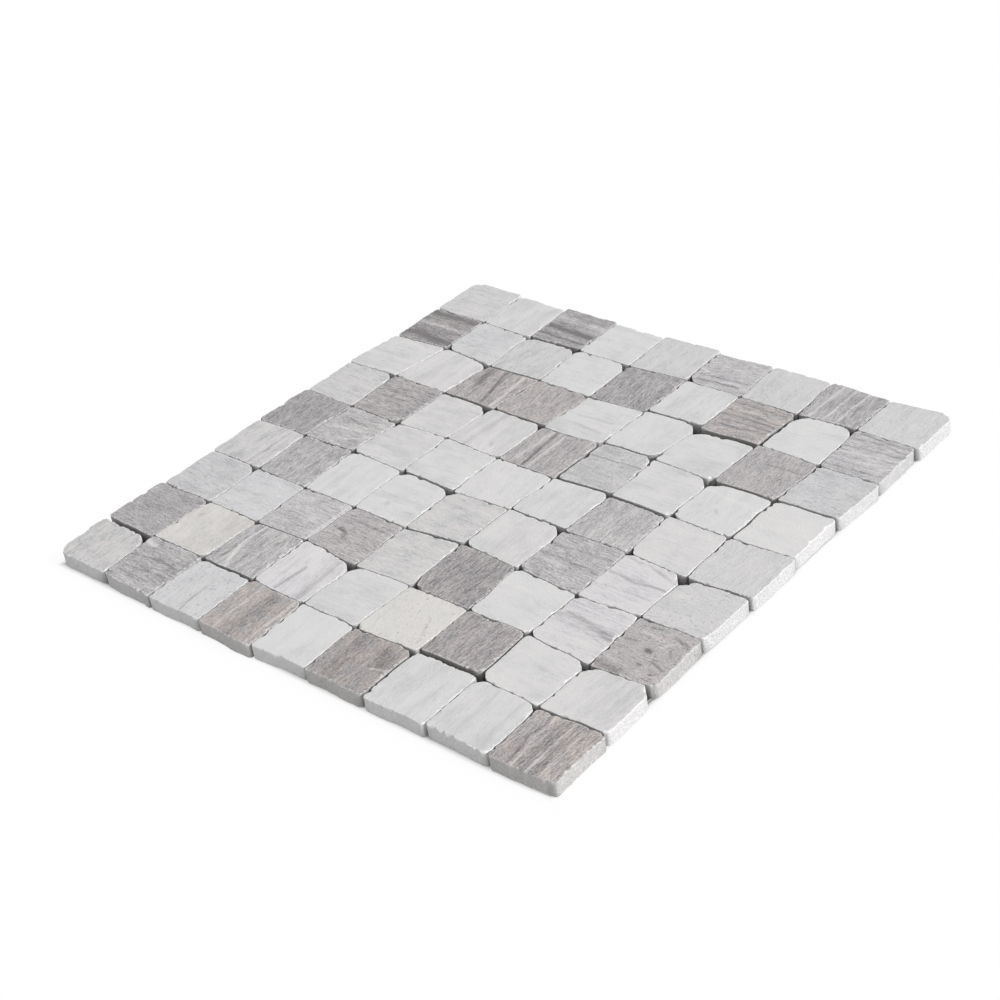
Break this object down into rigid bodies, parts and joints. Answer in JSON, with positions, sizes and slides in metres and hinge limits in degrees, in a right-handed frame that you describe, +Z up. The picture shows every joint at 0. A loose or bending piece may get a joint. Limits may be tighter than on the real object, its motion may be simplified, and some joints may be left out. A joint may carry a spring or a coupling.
{
  "type": "tumbled marble mosaic tile sheet",
  "caption": "Square sheet of tumbled square stone mosaic tiles in mixed whites, greys and taupes, bonded by their backs to a laid fibre net.",
  "frame": {"origin": "on the floor under the middle of the sheet, level with the underside of the net", "axes": "+Z up, out of the tiles' faces; X and Y along the sheet's edges, rows of tiles numbered towards +Y"},
  "size_m": [0.3092, 0.3096, 0.0081],
  "materials": {
    "white_marble": "tumbled, honed face",
    "veined_marble": "tumbled, honed face",
    "cream_marble": "tumbled, honed face",
    "pale_grey_marble": "tumbled, honed face",
    "grey_marble": "tumbled, honed face",
    "taupe_marble": "tumbled, honed face",
    "glass_fibre_net": "resin-coated yarn"
  },
  "bodies": {
    "root": {"white_marble_tiles": "white_marble", "veined_marble_tiles": "veined_marble", "cream_marble_tiles": "cream_marble", "pale_grey_marble_tiles": "pale_grey_marble", "grey_marble_tiles": "grey_marble", "taupe_marble_tiles": "taupe_marble", "net_lower_threads": "glass_fibre_net", "net_upper_threads": "glass_fibre_net"}
  },
  "joints": []
}
